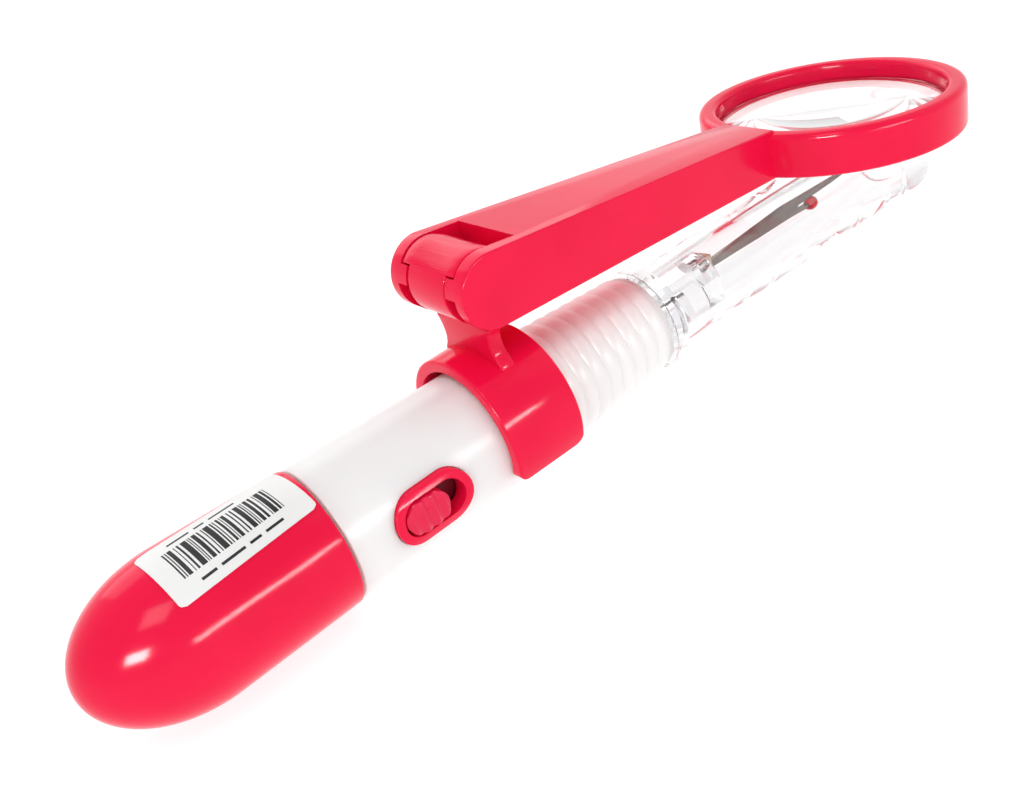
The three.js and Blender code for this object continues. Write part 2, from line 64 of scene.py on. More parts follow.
# ------------------------------------------------------------------ sizes, in millimetres
TAIL = {
    "nose": 13.2, "radius": 8.85, "mouth_radius": 8.4, "mouth_x": 29.3, "lip": 0.3,
    "bore_x": 7.4, "bore_cone": 3.9, "bore_floor": 6.3, "rings": (18, 24),
}
LABEL = {
    "x": 20.1, "across": -2.2, "length": 17.0, "width": 8.75, "slant": 0.08, "corner": 0.6,
    "lifts": (0.06, 0.19), "ink_lifts": (0.192, 0.198),
}
BARS = {
    "start": -6.4, "end": 6.0, "low": -2.1, "high": 2.0,
    "widths": (0.18, 0.1, 0.3, 0.1, 0.18, 0.42, 0.1, 0.1, 0.3, 0.18, 0.1, 0.42, 0.18, 0.1),
    "gaps": (0.16, 0.24, 0.12, 0.3, 0.16, 0.14, 0.26, 0.18, 0.14, 0.22, 0.3, 0.14, 0.2, 0.16),
}
DASHES = {
    "start": -5.2, "gap": 0.6, "half": 0.16,
    "rows": ((2.9, (2.6, 1.2, 3.1)), (-3.2, (1.8, 2.9, 1.4, 2.2))),
}
BARREL = {
    "x0": 29.6, "x1": 56.0, "radius0": 8.2, "radius1": 7.72, "seat_x": 50.4, "edge": 0.15,
    "rings": (34, 38, 42, 46), "spigot_x": 15.0, "spigot_radius": 7.25, "spigot_edge": 0.35,
    "bore": 6.1, "flange_x": 30.0, "flange_thick": 1.2, "flange_bore": 4.4,
    "groove_half": 1.5, "groove_z0": 5, "groove_z1": 6.95, "notch_y0": -6.0, "notch_y1": -4.0,
}
GRIP = {
    "x0": 56.3, "rib_x0": 60.9, "rib_x1": 77.8, "x1": 78.4, "seat_radius": 7.55,
    "radius0": 7.3, "radius1": 6.35, "ribs": 8, "rib_height": 0.4, "rib_power": 0.8,
    "edge": 0.15, "edge_drop": 0.1, "bore": 5.4, "bore_x": 67.5, "nose_bore": 4.3,
}
NOSE = {
    "x0": 69.0, "x1": 89.8, "tail_radius": 4.0, "radius": 3.95, "collar_x0": 78.7,
    "collar_x1": 80.9, "collar_radius": 6.75,
}
CAP = {
    "x0": 81.2, "x1": 130.8, "radius0": 5.45, "radius1": 6.1, "edge": 2.0, "bore0": 4.3,
    "taper_x": 90.5, "bore1": 3.4, "bore_x1": 126.6,
}
SWITCH = {
    "x0": 34.75, "x1": 45.0, "z": 0.2, "half": 3.2, "proud": 0.45, "inner": 6.4,
    "slot_x0": 35.75, "slot_x1": 43.95, "slot_half": 2.2, "fit": 0.1,
}
KNOB = {
    "length": 5.7, "root": 5.6, "top": 8.58, "ridge": 0.16, "ridges": 4.0,
    "fall": 0.55, "fall_from": 0.55, "fall_power": 1.6,
    "foot_back": 2.4, "foot_front": 2.6, "foot_half": 2.9, "foot_inner": 5.45, "foot_outer": 6.05,
    "post_x0": 1.8, "post_x1": 4.6, "post_y0": -5.9, "post_y1": -4.65, "post_z0": -1.2,
    # the last radius: the slide's faces nearer the axis than this get the painted shade of the slot
    "post_z1": 0.8, "painted_shade_radius": 6.06,
}
CLIP = {
    "x0": 50.5, "x1": 60.3, "inner": 8.05, "outer": 9.5, "rise": 0.45, "skirt_z": -3.6,
    "corner": 1.5, "top": 12, "neck_x0": 54.4, "neck_x1": 56.3, "bore_x0": 45, "bore_x1": 65,
}
KNUCKLE = {
    "radius": 4.3, "narrow": 3.45, "wide": 4.85, "from": 40, "to": 140, "overlap": 0.5,
    "pin_radius": 1.6, "pin_end": 5.95,
}
# (y, z) up one side of the clip's neck, from inside the collar to inside the knuckle
NECK_SIDE = [
    (5.6, 8.0), (5.2, 8.9), (4.75, 9.6), (4.45, 10.4), (4.4, 11.1), (4.5, 11.9), (4.75, 12.7),
    (5.1, 13.4), (KNUCKLE["narrow"], 13.4), (KNUCKLE["narrow"], 15.7),
]
ARM = {
    "tilt": 5.6, "reach": 63.33, "ear": 4.35, "half0": 7.05, "half1": 4.2, "top1": 1.95,
    "bottom1": -4.3, "root": 47.6, "back": -6, "window": 5.0, "window_half": 5.15,
    "pad_half": 3.75, "pad_from": 142.5, "pad_to": 232, "bore": 1.68, "bore_end": 6.2,
    "lead_half": 1.7, "lead_depth": 0.35, "lead_angle": 196,
}
RING = {
    "outer": 17.45, "inner": 15.0, "lip": 14.5, "top": 1.6, "bottom": -4.1, "seat": 15.55,
    "seat0": -2.45, "seat1": -0.65,
}
LENS = {"radius": 15.25, "edge0": -2.15, "edge1": -0.95, "bulge": 1.6}
BLADE = {"half": 0.42, "slot_half": 0.75, "slot_z0": 0.7, "slot_z1": 2.1}
# (x, z, fillet radius) round the fork: the short prong's side, the crotch, then the long prong's
FORK = [
    (76.0, 0.95, 0), (91.5, 0.95, 1), (97.0, 0.8, 1), (101.3, 0.65, 1), (106.9, 0.55, 1),
    (110.1, 0.35, 0.5), (111.3, 0.3, 0.1), (111.3, 0.72, 0.1), (110.0, 0.88, 0.5),
    (109.2, 1.05, 0.3), (108.6, 1.3, 0.3), (109.0, 1.5, 0.3), (111.0, 1.55, 1),
    (115.5, 1.6, 1), (122.3, 1.9, 0), (115.8, 2.1, 1), (106.1, 2.5, 1), (97.9, 2.1, 1),
    (91.5, 1.85, 1), (76.0, 1.85, 0),
]
CLAMP = {"x0": 87.6, "x1": 91.4, "half": 1.1, "z0": 0.5, "z1": 3.1}
BALL = {
    "x": 111.75, "z": 0.5, "radius": 0.95,
    "socket_x1": 111.36, "socket_half": 0.48, "socket_z0": 0.24, "socket_z1": 0.78,
}
LAMP = {
    "z": -1.6, "radius": 1.5, "flange": 1.7, "flange_thick": 0.8, "x0": 79.1, "x1": 84.5,
    "bore": 1.95, "bore_x1": 85.0,
}
GAP = 0.3  # left between pieces that fit together, and before the grip's ribs
PAST = 1  # how far a cut runs beyond what it cuts
FAR = 40.0  # longer than any cut has to reach


# ------------------------------------------------------------------ outlines
def arc(cx, cy, radius, start, end, steps):
    """Points on a circle from start to end, in degrees."""
    points = []
    for i in range(steps + 1):
        a = math.radians(start + (end - start) * i / steps)
        points.append((cx + radius * math.cos(a), cy + radius * math.sin(a)))
    return points


def rounded(corners, steps=5):
    """A closed outline from (u, v, fillet radius) corners."""
    points = []
    n = len(corners)
    for i, (u, v, radius) in enumerate(corners):
        here = Vector((u, v))
        before = Vector(corners[i - 1][:2]) - here
        after = Vector(corners[(i + 1) % n][:2]) - here
        if radius <= 0:
            points.append((u, v))
            continue
        half = before.angle(after) / 2
        reach = min(radius / math.tan(half), 0.49 * before.length, 0.49 * after.length)
        start = here + before.normalized() * reach
        end = here + after.normalized() * reach
        for k in range(steps + 1):
            t = k / steps
            p = start * (1 - t) ** 2 + here * 2 * t * (1 - t) + end * t ** 2
            points.append((p.x, p.y))
    return points


def stadium(u0, u1, v, half, steps=20):
    """A slot's outline, with round ends."""
    return arc(u1 - half, v, half, -90, 90, steps) + arc(u0 + half, v, half, 90, 270, steps)


# ------------------------------------------------------------------ mesh building
def closed(bm):
    """Welds doubled corners and turns the faces outward."""
    bmesh.ops.remove_doubles(bm, verts=bm.verts, dist=1e-5)
    bmesh.ops.recalc_face_normals(bm, faces=bm.faces)
    return bm


def turned(outline, facets):
    """Turns a closed outline of (x, radius) about the X axis."""
    bm = bmesh.new()
    rows = []
    for x, r in outline:
        if r < 1e-6:
            rows.append([bm.verts.new((x, 0, 0))])
            continue
        row = []
        for k in range(facets):
            a = 2 * math.pi * k / facets
            row.append(bm.verts.new((x, r * math.sin(a), r * math.cos(a))))
        rows.append(row)
    for i, row in enumerate(rows):
        following = rows[(i + 1) % len(rows)]
        for k in range(facets):
            m = (k + 1) % facets
            if len(row) == 1 and len(following) == 1:
                break
            if len(row) == 1:
                bm.faces.new((row[0], following[k], following[m]))
            elif len(following) == 1:
                bm.faces.new((row[k], following[0], row[m]))
            else:
                bm.faces.new((row[k], following[k], following[m], row[m]))
    return closed(bm)


def rod(x0, x1, radius, facets):
    """A round bar along X."""
    return turned([(x0, 0), (x0, radius), (x1, radius), (x1, 0)], facets)


def prism(outline, axis, low, high):
    """Pushes a closed outline along one axis; it lies in the other two, in X, Y, Z order."""
    place = {
        "x": lambda u, v, w: (w, u, v),
        "y": lambda u, v, w: (u, w, v),
        "z": lambda u, v, w: (u, v, w),
    }[axis]
    bm = bmesh.new()
    ends = [[bm.verts.new(place(u, v, w)) for u, v in outline] for w in (low, high)]
    bm.faces.new(ends[0])
    bm.faces.new(list(reversed(ends[1])))
    n = len(outline)
    for i in range(n):
        j = (i + 1) % n
        bm.faces.new((ends[0][i], ends[1][i], ends[1][j], ends[0][j]))
    return closed(bm)


def box(x0, x1, y0, y1, z0, z1):
    return prism([(x0, y0), (x1, y0), (x1, y1), (x0, y1)], "z", z0, z1)


def sector(radius, start, end, y0, y1):
    """A slice of a disc across Y, from start to end in degrees."""
    return prism([(0, 0)] + arc(0, 0, radius, start, end, 40), "y", y0, y1)


def moved(bm, x=0.0, y=0.0, z=0.0):
    bmesh.ops.translate(bm, verts=bm.verts, vec=(x, y, z))
    return bm


def spun(bm, degrees, axis="Y"):
    bmesh.ops.rotate(bm, verts=bm.verts, matrix=Matrix.Rotation(math.radians(degrees), 3, axis))
    return bm


def mirrored(bm):
    """A copy on the other side of the pen."""
    copy = bm.copy()
    for vert in copy.verts:
        vert.co.y = -vert.co.y
    bmesh.ops.reverse_faces(copy, faces=copy.faces)
    return copy


def temporary(bm):
    mesh = bpy.data.meshes.new("tmp")
    bm.to_mesh(mesh)
    bm.free()
    obj = bpy.data.objects.new("tmp", mesh)
    bpy.context.scene.collection.objects.link(obj)
    return obj


def evaluated(obj):
    """The object's mesh with its modifiers, as a bmesh; the object goes."""
    graph = bpy.context.evaluated_depsgraph_get()
    mesh = bpy.data.meshes.new_from_object(obj.evaluated_get(graph))
    bm = bmesh.new()
    bm.from_mesh(mesh)
    bpy.data.meshes.remove(mesh)
    bpy.data.objects.remove(obj)
    return bm


def combine(bm, tool, operation):
    """bm with tool joined to it (UNION), cut from it (DIFFERENCE) or kept in common (INTERSECT)."""
    obj, other = temporary(bm), temporary(tool)
    modifier = obj.modifiers.new("combine", "BOOLEAN")
    modifier.operation = operation
    modifier.solver = "EXACT"
    modifier.object = other
    result = evaluated(obj)
    bpy.data.objects.remove(other)
    return result


def join(bm, tool):
    return combine(bm, tool, "UNION")


def cut(bm, tool):
    return combine(bm, tool, "DIFFERENCE")


def common(bm, tool):
    return combine(bm, tool, "INTERSECT")


def bevelled(bm, width, degrees=35, segments=3):
    """bm with every edge sharper than the angle rounded off."""
    obj = temporary(bm)
    modifier = obj.modifiers.new("bevel", "BEVEL")
    modifier.width = width
    modifier.segments = segments
    modifier.limit_method = "ANGLE"
    modifier.angle_limit = math.radians(degrees)
    return evaluated(obj)


def piece(name, bm, body, material, nodes=(), sharp=38):
    """Puts a piece drawn in the pen's millimetres into the row frame, on its CAD body."""
    mesh = bpy.data.meshes.new(name)
    bmesh.ops.scale(bm, verts=bm.verts, vec=(MM, MM, MM))
    bmesh.ops.translate(bm, verts=bm.verts, vec=ORIGIN)
    bm.to_mesh(mesh)
    bm.free()
    mesh.shade_smooth()
    mesh.set_sharp_from_angle(angle=math.radians(sharp))
    obj = bpy.data.objects.new(name, mesh)
    bpy.context.scene.collection.objects.link(obj)
    obj.data.materials.append(material)
    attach(obj, body)
    if nodes:
        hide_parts(*nodes)
    return obj


# ------------------------------------------------------------------ materials
def new_material(name):
    material = bpy.data.materials.new(name)
    material.use_nodes = True
    nodes = material.node_tree.nodes
    return material, nodes, material.node_tree.links, nodes["Principled BSDF"]


def noise(nodes, links, scale, detail=2.0, stretch=(1, 1, 1)):
    """A noise texture in the row frame's metres."""
    coordinates = nodes.new("ShaderNodeTexCoord")
    mapping = nodes.new("ShaderNodeMapping")
    mapping.inputs["Scale"].default_value = stretch
    texture = nodes.new("ShaderNodeTexNoise")
    texture.inputs["Scale"].default_value = scale
    texture.inputs["Detail"].default_value = detail
    links.new(coordinates.outputs["Object"], mapping.inputs["Vector"])
    links.new(mapping.outputs["Vector"], texture.inputs["Vector"])
    return texture


def ramp(nodes, links, source, low, high):
    """A colour that goes from low to high over the middle of a noise texture's range."""
    node = nodes.new("ShaderNodeValToRGB")
    for element, position, color in zip(node.color_ramp.elements, (0.35, 0.65), (low, high)):
        element.position = position
        element.color = (*color, 1)
    links.new(source, node.inputs["Fac"])
    return node.outputs["Color"]


def remap(nodes, links, source, low, high):
    """A 0 to 1 value stretched to go from low to high."""
    node = nodes.new("ShaderNodeMapRange")
    node.inputs["To Min"].default_value = low
    node.inputs["To Max"].default_value = high
    links.new(source, node.inputs["Value"])
    return node.outputs["Result"]


def bump(nodes, links, source, shader, distance):
    node = nodes.new("ShaderNodeBump")
    node.inputs["Distance"].default_value = distance
    links.new(source, node.inputs["Height"])
    links.new(node.outputs["Normal"], shader.inputs["Normal"])


def moulded(name, low, high, rough, specular=0.5, scatter=0.0):
    """Moulded plastic: slight colour drift, soft waviness and fine handling marks in the gloss."""
    material, nodes, links, shader = new_material(name)
    drift = noise(nodes, links, scale=90.0)
    links.new(ramp(nodes, links, drift.outputs["Fac"], low, high), shader.inputs["Base Color"])
    marks = noise(nodes, links, scale=900.0, detail=5.0, stretch=(0.35, 1, 1))
    links.new(
        remap(nodes, links, marks.outputs["Fac"], rough * 0.75, rough * 1.35),
        shader.inputs["Roughness"],
    )
    wave = noise(nodes, links, scale=160.0, detail=1.0)
    bump(nodes, links, wave.outputs["Fac"], shader, distance=0.00004)
    shader.inputs["Specular IOR Level"].default_value = specular
    if scatter:
        shader.inputs["Subsurface Weight"].default_value = scatter
        shader.inputs["Subsurface Radius"].default_value = (1.0, 0.92, 0.88)
        shader.inputs["Subsurface Scale"].default_value = 0.003
    return material


def clear_plastic(name, tint=(0.96, 0.963, 0.967), rough=0.03):
    """Clear moulded acrylic with faint flow lines."""
    material, nodes, links, shader = new_material(name)
    haze = noise(nodes, links, scale=70.0, detail=3.0, stretch=(0.3, 1, 1))
    links.new(
        ramp(nodes, links, haze.outputs["Fac"], tuple(c * 0.985 for c in tint), tint),
        shader.inputs["Base Color"],
    )
    links.new(
        remap(nodes, links, haze.outputs["Fac"], rough * 0.6, rough * 1.6),
        shader.inputs["Roughness"],
    )
    bump(nodes, links, haze.outputs["Fac"], shader, distance=0.000001)
    shader.inputs["Transmission Weight"].default_value = 1.0
    shader.inputs["IOR"].default_value = 1.47
    return material


def metal(name, low, high, rough, grain=(0.05, 1, 1), metallic=1.0):
    """Drawn or rolled metal with fine lengthwise grain."""
    material, nodes, links, shader = new_material(name)
    lines = noise(nodes, links, scale=2600.0, detail=4.0, stretch=grain)
    links.new(ramp(nodes, links, lines.outputs["Fac"], low, high), shader.inputs["Base Color"])
    links.new(
        remap(nodes, links, lines.outputs["Fac"], rough * 0.7, rough * 1.4),
        shader.inputs["Roughness"],
    )
    bump(nodes, links, lines.outputs["Fac"], shader, distance=0.00001)
    shader.inputs["Metallic"].default_value = metallic
    return material


RED = moulded(
    "red_plastic", (0.84, 0.004, 0.05), (0.9, 0.006, 0.058), rough=0.13, specular=0.16)
RED_KNOB = moulded(
    "red_knob_plastic", (0.76, 0.005, 0.06), (0.84, 0.008, 0.07), rough=0.28, specular=0.3)
# painted shade: a dark red put on the slide's foot, where the slot shades it
RED_PAINTED_SHADE = moulded(
    "red_slide_foot_painted_shade", (0.13, 0.002, 0.012), (0.17, 0.003, 0.016), rough=0.5, specular=0.1)
WHITE = moulded(
    "milky_plastic", (0.89, 0.86, 0.85), (0.93, 0.905, 0.9), rough=0.3, specular=0.4, scatter=0.6)
BEAD = moulded("dark_red_bead", (0.44, 0.006, 0.01), (0.52, 0.01, 0.014), rough=0.1)
CLEAR = clear_plastic("clear_plastic")
LENS_CLEAR = clear_plastic("lens_clear", tint=(0.99, 0.995, 0.995), rough=0.006)
LAMP_CLEAR = clear_plastic("lamp_epoxy", tint=(0.95, 0.97, 1.0))
STEEL = metal("blade_steel", (0.13, 0.1, 0.09), (0.26, 0.21, 0.19), rough=0.22)
CELL_STEEL = metal(
    "cell_steel", (0.55, 0.56, 0.58), (0.68, 0.69, 0.7), rough=0.25, grain=(1, 1, 1))
BRASS = metal("brass", (0.5, 0.36, 0.17), (0.68, 0.52, 0.28), rough=0.3)
CLAMP_TAN = metal(
    "clamp_brass", (0.5, 0.4, 0.28), (0.66, 0.55, 0.4), rough=0.35, metallic=0.35)
PAPER = moulded("label_paper", (0.84, 0.84, 0.83), (0.9, 0.9, 0.895), rough=0.5, specular=0.3)
INK = moulded(
    "label_ink", (0.015, 0.015, 0.018), (0.04, 0.04, 0.045), rough=0.55, specular=0.3)
BOARD = moulded("circuit_board", (0.02, 0.12, 0.05), (0.03, 0.17, 0.07), rough=0.4)


# ------------------------------------------------------------------ tail cap
def tail_radius(x):
    """The tail cap's outside: an elliptical end, then a wall that narrows to the mouth."""
    if x >= TAIL["nose"]:
        t = (x - TAIL["nose"]) / (TAIL["mouth_x"] - TAIL["nose"])
        return TAIL["radius"] + (TAIL["mouth_radius"] - TAIL["radius"]) * t
    u = 1 - x / TAIL["nose"]
    return TAIL["radius"] * math.sqrt(1 - u * u)


def make_tail_cap():
    steps = 40
    outline = [(0, 0)]
    for i in range(1, steps + 1):
        x = TAIL["nose"] * (1 - math.cos(math.pi / 2 * i / steps))
        outline.append((x, tail_radius(x)))
    outline += [(x, tail_radius(x)) for x in TAIL["rings"]]
    lip = TAIL["lip"]
    outline += arc(TAIL["mouth_x"] - lip, TAIL["mouth_radius"] - lip, lip, 88, 0, 4)
    bore, bottom = BARREL["spigot_radius"] + GAP, TAIL["bore_x"]
    outline += [
        (TAIL["mouth_x"], bore), (bottom + TAIL["bore_cone"], bore),
        (bottom, TAIL["bore_floor"]), (bottom, 0),
    ]
    bm = turned(outline, facets=128)
    piece("tail_cap_red", bm, "tail", RED, ["end_cap"])


def on_tail(along, across, lift):
    """A point on the tail cap's upper skin; the label lies a little off the pen's line."""
    x = LABEL["x"] + along - LABEL["slant"] * across
    r = tail_radius(x) + lift
    a = (LABEL["across"] + across + LABEL["slant"] * along) / TAIL["radius"]
    return (x, r * math.sin(a), r * math.cos(a))


def skin_patch(bm, u0, u1, v0, v1, low, high, steps_u, steps_v, corner=0.0):
    """A thin closed sheet on the tail cap, with rounded corners if corner is more than 0."""
    layers = []
    for lift in (low, high):
        rows = []
        for j in range(steps_v + 1):
            v = v0 + (v1 - v0) * j / steps_v
            inside = min(v - v0, v1 - v)
            inset = 0.0
            if corner and inside < corner:
                inset = corner - math.sqrt(max(0.0, corner ** 2 - (corner - inside) ** 2))
            row = []
            for i in range(steps_u + 1):
                u = u0 + inset + (u1 - u0 - 2 * inset) * i / steps_u
                row.append(bm.verts.new(on_tail(u, v, lift)))
            rows.append(row)
        layers.append(rows)
    low_rows, high_rows = layers
    for j in range(steps_v):
        for i in range(steps_u):
            for rows in layers:
                bm.faces.new((rows[j][i], rows[j][i + 1], rows[j + 1][i + 1], rows[j + 1][i]))
    for i in range(steps_u):
        for j in (0, steps_v):
            bm.faces.new((low_rows[j][i], low_rows[j][i + 1], high_rows[j][i + 1], high_rows[j][i]))
    for j in range(steps_v):
        for i in (0, steps_u):
            bm.faces.new((low_rows[j][i], low_rows[j + 1][i], high_rows[j + 1][i], high_rows[j][i]))


def make_label():
    """The label's plain sheet, and on it a row of generic bars between rows of plain dashes."""
    bm = bmesh.new()
    half, side = LABEL["length"] / 2, LABEL["width"] / 2
    skin_patch(bm, -half, half, -side, side, *LABEL["lifts"], corner=LABEL["corner"],
               steps_u=24, steps_v=32)
    piece("plain_label", closed(bm), "tail", PAPER, ["end_cap_label"])
    bm = bmesh.new()
    widths, gaps = BARS["widths"], BARS["gaps"]
    u = BARS["start"]
    index = 0
    while u < BARS["end"]:
        width = widths[index % len(widths)] * (1.0 + 0.25 * (index % 3))
        skin_patch(bm, u, u + width, BARS["low"], BARS["high"], *LABEL["ink_lifts"],
                   steps_u=1, steps_v=10)
        u += width + gaps[(index * 5) % len(gaps)]
        index += 1
    half = DASHES["half"]
    for v, lengths in DASHES["rows"]:
        u = DASHES["start"]
        for length in lengths:
            skin_patch(bm, u, u + length, v - half, v + half, *LABEL["ink_lifts"],
                       steps_u=6, steps_v=1)
            u += length + DASHES["gap"]
    piece("label_bars", closed(bm), "tail", INK)


# ------------------------------------------------------------------ barrel and grip
def barrel_radius(x):
    t = (x - BARREL["x0"]) / (BARREL["seat_x"] - BARREL["x0"])
    return BARREL["radius0"] + (BARREL["radius1"] - BARREL["radius0"]) * t


def make_barrel():
    x0, x1, edge, spigot_x = BARREL["x0"], BARREL["x1"], BARREL["edge"], BARREL["spigot_x"]
    bevel = BARREL["spigot_edge"]
    outline = [
        (spigot_x, BARREL["spigot_radius"] - bevel), (spigot_x + bevel, BARREL["spigot_radius"]),
        (x0, BARREL["spigot_radius"]),
    ]
    outline += arc(x0 + edge, BARREL["radius0"] - edge, edge, 180, 90, 3)
    outline += [(x, barrel_radius(x)) for x in (*BARREL["rings"], BARREL["seat_x"])]
    outline += [(x1, BARREL["radius1"]), (x1, BARREL["bore"])]
    flange0, flange1 = BARREL["flange_x"], BARREL["flange_x"] + BARREL["flange_thick"]
    outline += [(flange1, BARREL["bore"]), (flange1, BARREL["flange_bore"])]
    outline += [(flange0, BARREL["flange_bore"]), (flange0, BARREL["bore"])]
    outline += [(spigot_x, BARREL["bore"])]
    bm = turned(outline, facets=128)
    fit, half = SWITCH["fit"], BARREL["groove_half"]
    window = stadium(SWITCH["x0"] - fit, SWITCH["x1"] + fit, SWITCH["z"], SWITCH["half"] + fit)
    bm = cut(bm, prism(window, "y", -FAR, 0))
    bm = cut(bm, box(spigot_x - PAST, x1 + PAST, -half, half,
                     BARREL["groove_z0"], BARREL["groove_z1"]))
    bm = cut(bm, box(flange0 - PAST, flange1 + PAST, BARREL["notch_y0"], BARREL["notch_y1"],
                     -half, half))
    piece("barrel_white", bm, "pen", WHITE, ["barrel_tube"])


def make_grip():
    rib_length = GRIP["rib_x1"] - GRIP["rib_x0"]
    pitch = rib_length / GRIP["ribs"]

    def mean(x):
        t = (x - GRIP["rib_x0"]) / rib_length
        return GRIP["radius0"] + (GRIP["radius1"] - GRIP["radius0"]) * t

    outline = [(GRIP["x0"], GRIP["seat_radius"]), (GRIP["rib_x0"] - GAP, GRIP["seat_radius"])]
    per_rib = 12
    for i in range(GRIP["ribs"] * per_rib + 1):
        x = GRIP["rib_x0"] + pitch * i / per_rib
        swell = abs(math.sin(math.pi * i / per_rib)) ** GRIP["rib_power"] - 0.5
        outline.append((x, mean(x) + GRIP["rib_height"] * swell))
    edge, rim = GRIP["edge"], GRIP["radius1"] - GRIP["edge_drop"]
    outline += arc(GRIP["x1"] - edge, rim - edge, edge, 90, 0, 3)
    outline += [
        (GRIP["x1"], GRIP["nose_bore"]), (GRIP["bore_x"], GRIP["nose_bore"]),
        (GRIP["bore_x"], GRIP["bore"]), (GRIP["x0"], GRIP["bore"]),
    ]
    bm = turned(outline, facets=112)
    piece("grip_ribbed", bm, "pen", WHITE, ["ribbed_grip"], sharp=60)


# ------------------------------------------------------------------ clear pieces, lamp, blade
def make_nose():
    outline = rounded([
        (NOSE["x0"], 0, 0), (NOSE["x0"], NOSE["tail_radius"], 0.2),
        (NOSE["collar_x0"], NOSE["tail_radius"], 0),
        (NOSE["collar_x0"], NOSE["collar_radius"], 0.15),
        (NOSE["collar_x1"], NOSE["collar_radius"], 0.6), (NOSE["collar_x1"], NOSE["radius"], 0.15),
        (NOSE["x1"], NOSE["radius"], 0.3), (NOSE["x1"], 0, 0),
    ])
    bm = turned(outline, facets=224)
    start, end, wide = NOSE["x0"] - PAST, NOSE["x1"] + PAST, CLAMP["half"] + GAP
    bore = rod(start, LAMP["bore_x1"], LAMP["bore"], facets=48)
    bm = cut(bm, moved(bore, z=LAMP["z"]))
    half = BLADE["slot_half"]
    bm = cut(bm, box(start, end, -half, half, BLADE["slot_z0"], BLADE["slot_z1"]))
    bm = cut(bm, box(CLAMP["x0"] - GAP, end, -wide, wide, CLAMP["z0"] - GAP, CLAMP["z1"] + GAP))
    piece("nose_clear", bm, "pen", CLEAR, ["clear_nose"])


def make_clamp():
    x0, x1, wide = CLAMP["x0"], CLAMP["x1"], CLAMP["half"]
    bm = bevelled(box(x0, x1, -wide, wide, CLAMP["z0"], CLAMP["z1"]), 0.15)
    half = BLADE["slot_half"]
    bm = cut(bm, box(x0 - PAST, x1 + PAST, -half, half, BLADE["slot_z0"], BLADE["slot_z1"]))
    piece("clamp_brass", bm, "pen", CLAMP_TAN, ["blade_clamp"])


def make_blade():
    """Flat fork with bevelled edges: a long pointed prong over a short one."""
    outline = rounded(FORK, steps=4)
    bm = bevelled(prism(outline, "y", -BLADE["half"], BLADE["half"]), 0.18)
    piece("blade_steel_fork", bm, "pen", STEEL, ["ripper_blade"])


def make_ball():
    """The bead on the short prong's tip, with a socket for the prong."""
    steps = 24
    outline = [(-BALL["radius"], 0)]
    for i in range(1, steps):
        a = math.pi * i / steps
        outline.append((-BALL["radius"] * math.cos(a), BALL["radius"] * math.sin(a)))
    outline.append((BALL["radius"], 0))
    bm = moved(turned(outline, facets=40), BALL["x"], 0, BALL["z"])
    half = BALL["socket_half"]
    bm = cut(bm, box(BALL["x"] - 2 * PAST, BALL["socket_x1"], -half, half,
                     BALL["socket_z0"], BALL["socket_z1"]))
    piece("bead_red", bm, "pen", BEAD, ["ripper_ball"])


def make_clear_cap():
    outline = rounded([
        (CAP["x0"], CAP["bore0"], 0.15), (CAP["x0"], CAP["radius0"], 0.25),
        (CAP["x1"] - CAP["edge"], CAP["radius1"], 0), (CAP["x1"], CAP["radius1"], CAP["edge"]),
        (CAP["x1"], 0, 0), (CAP["bore_x1"], 0, 0), (CAP["bore_x1"], CAP["bore1"], 0.8),
        (CAP["taper_x"], CAP["bore0"], 0),
    ], steps=8)
    bm = turned(outline, facets=384)
    piece("cap_clear", bm, "blade_cap", CLEAR, ["clear_cap"])


def make_lamp():
    x0, flange, flange_x1 = LAMP["x0"], LAMP["flange"], LAMP["x0"] + LAMP["flange_thick"]
    outline = rounded([
        (x0, 0, 0), (x0, flange, 0.1), (flange_x1, flange, 0.1), (flange_x1, LAMP["radius"], 0),
    ])
    outline += arc(LAMP["x1"] - LAMP["radius"], 0, LAMP["radius"], 90, 4, 10)
    outline += [(LAMP["x1"], 0)]
    bm = moved(turned(outline, facets=48), z=LAMP["z"])
    piece("lamp_dome", bm, "pen", LAMP_CLEAR, ["lamp"])


# ------------------------------------------------------------------ switch
def make_bezel():
    """The red frame round the switch's slot, standing a little proud of the barrel."""
    rim = stadium(SWITCH["x0"], SWITCH["x1"], SWITCH["z"], SWITCH["half"], steps=28)
    slot = stadium(SWITCH["slot_x0"], SWITCH["slot_x1"], SWITCH["z"], SWITCH["slot_half"], steps=28)
    x0, x1, proud = SWITCH["x0"] - PAST, SWITCH["x1"] + PAST, SWITCH["proud"]
    band = turned([
        (x0, SWITCH["inner"]), (x0, barrel_radius(x0) + proud),
        (x1, barrel_radius(x1) + proud), (x1, SWITCH["inner"]),
    ], facets=256)
    bm = common(prism(rim, "y", -FAR, 0), band)
    bm = cut(bm, prism(slot, "y", -FAR, 0))
    bm = bevelled(bm, 0.25, degrees=50)
    piece("switch_frame_red", bm, "pen", RED, ["switch_bezel"])


